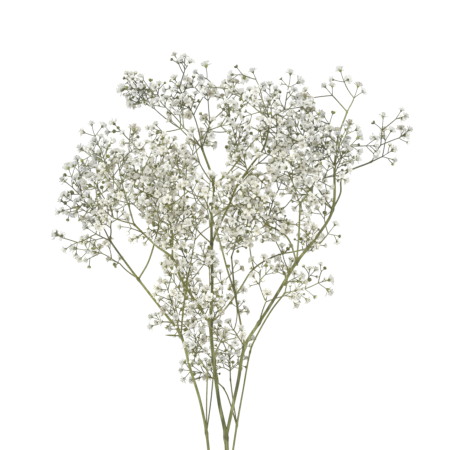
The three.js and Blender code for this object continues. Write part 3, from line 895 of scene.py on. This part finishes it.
petalFinish = {
    # the root colour is the petals' own greenish base, and reaches far enough to paint shade in the floret's
    # centre
    "root": (0.50, 0.54, 0.26), "white": (0.95, 0.95, 0.925), "cream": (0.94, 0.92, 0.80),
    # the grey given to heads at the border of the crown is painted shade
    "young": (0.68, 0.69, 0.68), "old": (0.52, 0.48, 0.36),
    "creaminess": (0.5, 0.6, 0.4, -0.35),  # by mottle, by tone, by depth in the crown, and to start with
    "youngShare": 0.65, "oldFrom": (0.9, 8, 1), "rootFade": 2.2, "rootShare": 0.8,
    "mottle": 700.0, "crinkle": 1600.0, "crinkleHeight": 0.00003, "roughness": (0.55, 0.8),
    "glow": {"subsurfaceWeight": 0.15, "subsurfaceRadius": (0.0015, 0.0015, 0.0013), "subsurfaceScale": 1.0},
}
greenFinish = {
    "twig": (0.120, 0.122, 0.058), "innerTwig": (0.215, 0.208, 0.048),
    "limb": (0.195, 0.215, 0.062), "innerLimb": (0.285, 0.295, 0.07), "limbFrom": (0.45, 1.6, 1),
    "trunk": (0.185, 0.21, 0.07), "trunkFrom": (1.3, 0.75, 1),
    "joint": (0.095, 0.085, 0.022), "jointShare": 0.7,
    # pale and deep colour random patches along the stems, and also the streaks of painted light and painted
    # shade on the thick stalks
    "pale": (0.44, 0.48, 0.24), "deep": (0.060, 0.070, 0.024),
    "patch": 30.0, "patchStretch": (1.0, 0.3, 1.0),
    "palePatch": (0.52, 7, 0.7), "deepPatch": (0.48, -7, 0.75),
    # the streaks along the thick stalks, pale on one side and deep on the other, are painted light and
    # painted shade
    "rib": 330.0, "paintedSideShadeStretch": (1.0, 0.08, 1.0), "paintedLitSide": (0.5, 7, 0.6), "paintedShadedSide": (0.5, -7, 0.8),
    "ribsFrom": (0.9, 0.9, 1), "mottle": 260.0, "mottled": (1.4, -0.3, 0.45),
    "streak": 1400.0, "streakStretch": (1.0, 0.12, 1.0), "streakHeight": 0.00008, "roughness": (0.42, 0.62),
}
leafyFinish = {
    "dark": (0.070, 0.074, 0.030), "light": (0.20, 0.21, 0.075), "byMottle": 0.7, "byReach": 0.4,
    "fresh": (0.33, 0.37, 0.09), "freshFrom": (0.55, 3, 0.8), "inner": (0.29, 0.29, 0.075), "innerShare": 0.5,
    "mottle": 500.0, "bump": 0.00005, "roughness": (0.5, 0.7),
}
bumpStrength = 0.6

# deep in the crown all is yellower and the greens lighter: from 1 there to 0 outside this ellipse, in metres
# of the object
inner = {"centre": (-0.0168, 0.0724), "wide": 0.15, "high": 0.16, "strength": 1.2}


# The tree of a material or a world, with nothing in it.
def emptyTree(owner):
    owner.use_nodes = True
    owner.node_tree.nodes.clear()
    return Tree(owner.node_tree)


def newFinish(name):
    material = bpy.data.materials.new(name)
    return material, emptyTree(material)


def finishWith(tree, colour, mottle, height, bumpDistance, limits, **fixed):
    low, high = limits
    coat = tree.add("ShaderNodeBump", strength=bumpStrength, distance=bumpDistance, height=height)
    shader = tree.add("ShaderNodeBsdfPrincipled", baseColor=colour, roughness=mottle * (high - low) + low,
                      normal=coat, **fixed)
    tree.add("ShaderNodeOutputMaterial", shader)


def mixed(tree, share, a, b):
    return tree.add("ShaderNodeMix", {"data_type": "RGBA"}, share, a, b)


# A colour with others over it, each by its share.
def layered(tree, colour, *layers):
    for share, tint in layers:
        colour = mixed(tree, share, colour, tint)
    return colour


def setIn(value, start, steepness, most):
    return ((value - start) * steepness).clamped() * most


def shaderAttribute(tree, name):
    return tree.add("ShaderNodeAttribute", {"attribute_name": name}, give=2)


def objectPlace(tree):
    return tree.add("ShaderNodeTexCoord", give=3)


def noise(tree, scale, stretch=None, detail=2.0):
    place = objectPlace(tree)
    if stretch:
        place = tree.add("ShaderNodeMapping", place, scale=stretch)
    return tree.add("ShaderNodeTexNoise", place, scale=scale, detail=detail)


def insideCrown(tree):
    x, y = (part - middle for part, middle in zip(tree.partsOf(objectPlace(tree)), inner["centre"]))
    return (inner["strength"] - x * x / inner["wide"] ** 2 - y * y / inner["high"] ** 2).clamped()


def makePetalFinish():
    look = petalFinish
    material, tree = newFinish("whitePetal")
    reach, tone, young = (shaderAttribute(tree, name) for name in ("reach", "tone", "young"))
    mottle, crinkle = noise(tree, look["mottle"]), noise(tree, look["crinkle"], detail=3.0)
    byMottle, byTone, byDepth, always = look["creaminess"]
    creamy = (mottle * byMottle + tone * byTone + insideCrown(tree) * byDepth + always).clamped()
    # the petals' greenish base, which also paints shade in the floret's centre
    root = (1 - reach * look["rootFade"]).clamped() * look["rootShare"]
    # heads at the border of the crown get a grey of painted shade
    colour = layered(
        tree, look["white"], (creamy, look["cream"]), (young * look["youngShare"], look["young"]),
        (setIn(tone, *look["oldFrom"]), look["old"]), (root, look["root"]))
    finishWith(tree, colour, mottle, crinkle, look["crinkleHeight"], look["roughness"], **look["glow"])
    return material


def makeGreenFinish():
    look = greenFinish
    material, tree = newFinish("greenStem")
    thick, joint = shaderAttribute(tree, "thick"), shaderAttribute(tree, "joint")
    mottle, inside = noise(tree, look["mottle"]), insideCrown(tree)
    patch = noise(tree, look["patch"], look["patchStretch"])
    # the noise for the streaks of painted light and painted shade along the thick stalks
    rib = noise(tree, look["rib"], look["paintedSideShadeStretch"])
    streak = noise(tree, look["streak"], look["streakStretch"], detail=3.0)
    paintedSidesShare = setIn(thick, *look["ribsFrom"])
    steepness, start, most = look["mottled"]
    twig = mixed(tree, inside, look["twig"], look["innerTwig"])
    limb = mixed(tree, inside, look["limb"], look["innerLimb"])
    colour = layered(
        tree, twig, (setIn(thick, *look["limbFrom"]), limb),
        (setIn(thick, *look["trunkFrom"]), look["trunk"]),
        ((joint * look["jointShare"]).clamped(), look["joint"]),
        (setIn(patch, *look["palePatch"]), look["pale"]), (setIn(patch, *look["deepPatch"]), look["deep"]),
        # streaks of painted light and painted shade along the thick stalks
        (setIn(rib, *look["paintedLitSide"]) * paintedSidesShare, look["pale"]),
        (setIn(rib, *look["paintedShadedSide"]) * paintedSidesShare, look["deep"]),
        ((mottle * steepness + start).clamped() * most, look["joint"]))
    finishWith(tree, colour, mottle, streak, look["streakHeight"], look["roughness"])
    return material


def makeLeafyFinish():
    look = leafyFinish
    material, tree = newFinish("leafyGreen")
    reach, tone = shaderAttribute(tree, "reach"), shaderAttribute(tree, "tone")
    mottle = noise(tree, look["mottle"])
    lit = (mottle * look["byMottle"] + reach * look["byReach"]).clamped()
    colour = layered(
        tree, look["dark"], (lit, look["light"]), (setIn(tone, *look["freshFrom"]), look["fresh"]),
        (insideCrown(tree) * look["innerShare"], look["inner"]))
    finishWith(tree, colour, mottle, mottle, look["bump"], look["roughness"])
    return material


petalWhite, stemGreen, leafGreen = makePetalFinish(), makeGreenFinish(), makeLeafyFinish()
print("finishes made")


# Stems: lines with a thickness, swept to round tubes.

tubes = {
    "limbSides": 12, "twigSides": 6, "unit": 0.001,  # a thickness is in mm
    "step": 2.5, "fewestSteps": 2, "slack": 0.34, "swelling": 0.42, "swellingReach": 1.9,
}
twigs = {  # radii in mm, at the foot and at the end
    "peg": [0.85, 0.68, 0.6], "stalk": (0.68, 0.6), "fork": (0.55, 0.49), "pedicel": (0.4, 0.33),
    "small": (0.5, 0.44), "thread": (0.41, 0.34), "cup": 1.35, "knot": 1.3, "bow": 0.1, "bows": (0.3, 1),
    "points": (3, 5), "step": 2.6, "foot": 1, "sink": 0.1,
}
bracts = {
    "scale": 0.0019, "lean": 0.55, "sink": -0.3,
    "blade": {"rootWidth": 0.6, "curl": 0.25, "cup": 0.6},
}


# What a twig tree grows on: lines with a thickness at each point, and loose points for the forks' bracts.
class Lines:
    def __init__(self):
        self.places, self.edges, self.values = [], [], {"thick": [], "joint": [], "fork": []}
        self.axes = {"heading": [], "side": []}

    def addPoint(self, place, thick, joint=0.0, fork=0.0, heading=(0, 0, 1), side=(1, 0, 0)):
        self.places.append(place)
        for key, value in (("thick", thick), ("joint", joint), ("fork", fork)):
            self.values[key].append(value)
        self.axes["heading"].append(heading)
        self.axes["side"].append(side)

    def add(self, places, radii, swollen=None):
        first = len(self.places)
        for k, (place, radius) in enumerate(zip(places, radii)):
            self.addPoint(place, radius, swollen[k] if swollen else 0.0)
        self.edges += [(first + k, first + k + 1) for k in range(len(places) - 1)]

    def mesh(self, name):
        return planMesh(name, self.places, self.edges, self.values, self.axes)


# Points, and edges between them, as a mesh that holds a number or a direction for each point.
def planMesh(name, places, edges, values, axes):
    made = bpy.data.meshes.new(name)
    made.from_pydata([tuple(place) for place in toFrame(places)], edges, [])
    for key, numbers in values.items():
        made.attributes.new(key, "FLOAT", "POINT").data.foreach_set("value", np.array(numbers, np.float32))
    for key, vectors in axes.items():
        made.attributes.new(key, "FLOAT_VECTOR", "POINT").data.foreach_set(
            "vector", np.array(vectors, np.float32).ravel())
    return made


# A limb bends softly through its stations and swells at its joints.
def softLimb(limb):
    path, radii = limbPath(limb), limbRadii(limb)
    radii[0] = radii[1]
    nodes = [(path[k], radii[k]) for k, stop in enumerate(limb) if isJoint(stop) and stop != "cut"]
    places, thick, swollen = [], [], []
    for k in range(len(path) - 1):
        a, b = path[k], path[k + 1]
        before = path[k - 1] if k else a - (b - a)
        after = path[k + 2] if k + 2 < len(path) else b + (b - a)
        span = length(b - a)
        # a cubic leaves and arrives three times as fast as its handles are long
        leave = towards(before, b) * span * tubes["slack"] * 3
        arrive = towards(a, after) * span * tubes["slack"] * 3
        steps = max(tubes["fewestSteps"], round(span / tubes["step"]))
        for i in range(steps + (k == len(path) - 2)):
            t = i / steps
            place = ((2 * t ** 3 - 3 * t ** 2 + 1) * a + (t ** 3 - 2 * t ** 2 + t) * leave
                     + (3 * t ** 2 - 2 * t ** 3) * b + (t ** 3 - t ** 2) * arrive)
            radius = radii[k] + (radii[k + 1] - radii[k]) * t
            swell = max(math.exp(-(length(place - node) / (size * tubes["swellingReach"])) ** 2)
                        for node, size in nodes)
            places.append(place)
            thick.append(radius * (1 + tubes["swelling"] * swell))
            swollen.append(swell)
    return places, thick, swollen


# A twig from a to b that bows a little aside, and may flare at its end.
def bowed(a, b, radii, bend, flare=None):
    span = length(b - a)
    peak = (a + b) / 2 + bend.aside(towards(a, b)) * (span * twigs["bow"] * bend.between(*twigs["bows"]))
    fewest, most = twigs["points"]
    shares = np.linspace(0, 1, min(max(fewest, round(span / twigs["step"]) + 1), most))
    places = [a * (1 - t) ** 2 + peak * 2 * t * (1 - t) + b * t * t for t in shares]
    thick = [radii[0] + (radii[1] - radii[0]) * t for t in shares]
    if flare:
        thick[-1] = flare
    return places, thick


def twigTree(name, sides):
    tree, given = geometryTree(name, plan="Geometry", sides=sides, scale=bracts["scale"],
                               green="Material", bract="Material")
    split = tree.add("GeometryNodeSeparateGeometry", {"domain": "POINT"}, given["plan"],
                     tree.attribute("fork") > 0.5)
    path = tree.add("GeometryNodeMeshToCurve", Wire(tree, split.socket.node.outputs["Inverted"]))
    circle = tree.add("GeometryNodeCurvePrimitiveCircle", {"mode": "RADIUS"}, resolution=given["sides"],
                      radius=tubes["unit"])
    tube = tree.add("GeometryNodeCurveToMesh", path, circle, tree.attribute("thick"), True)
    pair = [tree.add("GeometryNodeTransform", addBlade(tree, **bracts["blade"]),
                     rotation=(bracts["lean"], 0.0, spin), translation=(0.0, 0.0, bracts["sink"]))
            for spin in (0.0, math.pi)]
    leaves = tree.add("GeometryNodeInstanceOnPoints", split, instance=tree.join(pair),
                      rotation=facing(tree), scale=given["scale"])
    return finishTree(tree, finished(tree, [tube, marked(tree, leaves, 1)], given["green"], given["bract"]))


def bloomTree():
    tree, given = geometryTree("blooms", plan="Geometry", white="Material", green="Material")
    floretGroup, budGroup = floretTree(), budTree()
    kinds = []
    for least, petals, rows in floret["sizes"]:
        for k in range(floret["kinds"]):
            one = tree.add("GeometryNodeGroup", {"node_tree": floretGroup}, seed=k * floret["kindStep"],
                           petals=petals, rows=rows)
            kinds.append(tree.add("GeometryNodeGeometryToInstance", one))
    isBud, size, turn = tree.attribute("bud"), tree.attribute("size"), facing(tree)
    florets = tree.add("GeometryNodeInstanceOnPoints", given["plan"], isBud < 0.5, tree.join(kinds), True,
                       tree.attribute("kind", "INT"), turn, size)
    buds = tree.add("GeometryNodeInstanceOnPoints", given["plan"], isBud > 0.5,
                    tree.add("GeometryNodeGroup", {"node_tree": budGroup}), False, 0, turn, size)
    return finishTree(tree, finished(tree, [florets, buds], given["white"], given["green"]))


bend = Draws(5171)
stemLines = Lines()
for limb in limbs:
    stemLines.add(*softLimb(limb))
for spray in grown:
    middle = (spray["root"] + spray["start"]) / 2
    stemLines.add([spray["root"], middle, spray["start"]], twigs["peg"])
mainStem = growPiece("mainStem", stemLines.mesh("mainStemPlan"), twigTree("limbTubes", tubes["limbSides"]),
                     green=stemGreen, bract=leafGreen, sides=tubes["limbSides"])
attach(mainStem, "root")
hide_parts("main_stem")

# the sprays of one part of the head share a piece for their twigs and one for their blooms
zones = {
    "farLeft": (1, 7), "leftHub": (8, 16), "crownLeft": (17, 23), "crownRight": (24, 30),
    "rightShoulder": (31, 35), "rightStar": (36, 41), "farRight": (42, 49), "low": (50, 59),
}
twigGroup, bloomGroup = twigTree("twigTubes", tubes["twigSides"]), bloomTree()


def addPedicel(lines, fork, head, radii):
    end = head["base"] + head["heading"] * (head["radius"] * twigs["sink"])
    node = head.get("node")
    if not node:
        lines.add(*bowed(fork.place, end, radii, bend, radii[1] * twigs["cup"]))
        return
    middle = (radii[0] + radii[1]) / 2
    lines.add(*bowed(fork.place, node.place, (radii[0], middle), bend, middle * twigs["knot"]))
    lines.add(*bowed(node.place, end, (middle, radii[1]), bend, radii[1] * twigs["cup"]))
    for face in faces[1:]:
        if node.slots.get(face):
            addPedicel(lines, node, node.slots[face], twigs["thread"])


# A twig from below to its fork, by way of its offshoots, with all that these and the fork hold.
def addTwig(lines, below, fork, radii):
    places, sizes = [below], [radii[0]]
    for share, offshoot in sorted(fork.offshoots, key=lambda pair: pair[0]):
        places.append(offshoot.below)
        sizes.append(radii[0] + (radii[1] - radii[0]) * share)
        addTwig(lines, offshoot.below, offshoot, twigs["small"])
    places.append(fork.place)
    sizes.append(radii[1])
    for k in range(1, len(places)):
        lines.add(*bowed(places[k - 1], places[k], sizes[k - 1:k + 1], bend))
    lines.addPoint(fork.place, thick=0.5, fork=1.0, heading=fork.axis, side=fork.side)
    for face in faces:
        held = fork.slots.get(face)
        if isinstance(held, Fork):
            addTwig(lines, fork.place, held, twigs["fork"])
        elif held:
            addPedicel(lines, fork, held, twigs["pedicel"] if radii != twigs["small"] else twigs["thread"])


def twigLines(members):
    lines = Lines()
    for spray in members:
        start = spray["root"] + spray["axis"] * (growth["peg"] - twigs["foot"])
        addTwig(lines, start, spray["forks"][0], twigs["stalk"])
    return lines


# How far a bloom reaches down for its size, less for one that looks up.
reachDown = {"level": 1.15, "lookingUp": 0.5}


# The size of a bloom: a floret is fuller at the border, and none reaches far through the floor.
def bloomSize(head):
    fullness = 1 if head["bud"] else floret["fullness"][isOuter(head["place"])]
    most = head["base"][2] / (reachDown["level"] - reachDown["lookingUp"] * head["heading"][2])
    return min(head["radius"] * fullness, most) / 1000


# The kind of a bloom: one of the florets of its size, which are numbered in a row.
def bloomKind(head):
    size = sum(head["radius"] > least for least, *rest in floret["sizes"]) - 1
    return math.floor((bend.one() + size) * floret["kinds"])


def bloomPoints(name, members):
    heads = [head for spray in members for head in spray["heads"]]
    made = planMesh(name, [head["base"] for head in heads], [], {
        "size": [bloomSize(head) for head in heads], "bud": [float(head["bud"]) for head in heads],
        # a random share of painted shade for the heads at the border of the crown
        "young": [isOuter(head["place"]) * bend.one() for head in heads],
        "tone": [bend.one() for head in heads],
    }, {key: [head[key] for head in heads] for key in ("heading", "side")})
    made.attributes.new("kind", "INT", "POINT").data.foreach_set("value", [bloomKind(head) for head in heads])
    return made


for zone, (first, last) in zones.items():
    members = grown[first - 1:last]
    nodes = [f"spray_{spray['number']:02d}" for spray in members]
    twigPiece = growPiece(zone + "Twigs", twigLines(members).mesh(zone + "TwigPlan"), twigGroup,
                          green=stemGreen, bract=leafGreen, sides=tubes["twigSides"])
    bloomPiece = growPiece(zone + "Blooms", bloomPoints(zone + "BloomPlan", members), bloomGroup,
                           white=petalWhite, green=leafGreen)
    for piece, slot in ((twigPiece, "stem"), (bloomPiece, "bloom")):
        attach(piece, "root")
        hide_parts(*nodes)

# The leaf at the left axis.

leaf = {
    "joint": "leftLeaf", "tip": (-62, 114, 6),
    "blade": {"rows": 14, "width": 0.17, "rootWidth": 0.4, "curl": 0.16, "cup": 0.35, "thickness": 0.03},
}


def leafTree():
    tree, given = geometryTree("leaf", plan="Geometry", green="Material")
    blade = addBlade(tree, **leaf["blade"])
    shape = tree.add("GeometryNodeInstanceOnPoints", given["plan"], instance=blade,
                     rotation=facing(tree), scale=tree.attribute("size"))
    whole = smoothed(tree, tree.add("GeometryNodeRealizeInstances", shape))
    return finishTree(tree, tree.add("GeometryNodeSetMaterial", whole, material=given["green"]))


root, tip = placeOf(*joints[leaf["joint"]]), placeOf(*leaf["tip"])
heading = towards(root, tip)
side = squareTo(np.array((heading[1], -heading[0], 0)), heading)
leafPlan = planMesh("leafPlan", [root], [], {"size": [length(tip - root) / 1000]},
                    {"heading": [heading], "side": [side]})
leafPiece = growPiece("leftLeaf", leafPlan, leafTree(), green=leafGreen)
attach(leafPiece, "root")

# Camera, light and floor: the stem lies down, so the camera looks straight down on it.

camera = {"centre": (-0.0068, 0.1074), "height": 3.07, "lens": 240.0, "sensor": 36.0, "farthest": 20.0}
studio = {
    "sky": (1.0, 1.0, 1.0), "skyStrength": 0.88,
    "suns": [((-0.6, 0.6, 0.9), 1.2, 24.0), ((0.6, -0.2, 0.9), 0.2, 60.0)],  # from where, strength, softness
    "floorSize": 8.0, "floorColours": ((0.06, 0.06, 0.06), (0.05, 0.05, 0.05)), "floorGrain": 30.0,
    "grainShare": 0.3, "floorGlow": 0.97, "floorRoughness": 0.9,
}

view = bpy.data.cameras.new("camera")
view.lens, view.sensor_width, view.clip_end = camera["lens"], camera["sensor"], camera["farthest"]
scene.camera = placed("camera", view)
scene.camera.location = (*camera["centre"], camera["height"])

for k, (place, strength, softness) in enumerate(studio["suns"]):
    sun = bpy.data.lights.new(f"sun{k}", "SUN")
    sun.energy, sun.angle = strength, math.radians(softness)
    placed(f"sun{k}", sun).rotation_euler = Vector(place).to_track_quat("Z", "Y").to_euler()

scene.world = bpy.data.worlds.new("sky")
sky = emptyTree(scene.world)
light = sky.add("ShaderNodeBackground", studio["sky"], studio["skyStrength"])
sky.add("ShaderNodeOutputWorld", light)

half = studio["floorSize"] / 2
ground = bpy.data.meshes.new("floor")
corners = [(-half, -half, 0), (half, -half, 0), (half, half, 0), (-half, half, 0)]
ground.from_pydata(corners, [], [(0, 1, 2, 3)])
floor = placed("floor", ground)
paper, tree = newFinish("palePaper")
grain = mixed(tree, noise(tree, studio["floorGrain"]) * studio["grainShare"], *studio["floorColours"])
sheet = tree.add("ShaderNodeBsdfPrincipled", baseColor=grain, roughness=studio["floorRoughness"],
                 emissionColor=studio["sky"], emissionStrength=studio["floorGlow"])
tree.add("ShaderNodeOutputMaterial", sheet)
ground.materials.append(paper)

scene.view_settings.view_transform = "Standard"
scene.view_settings.look = "None"
print("camera, light and floor set")
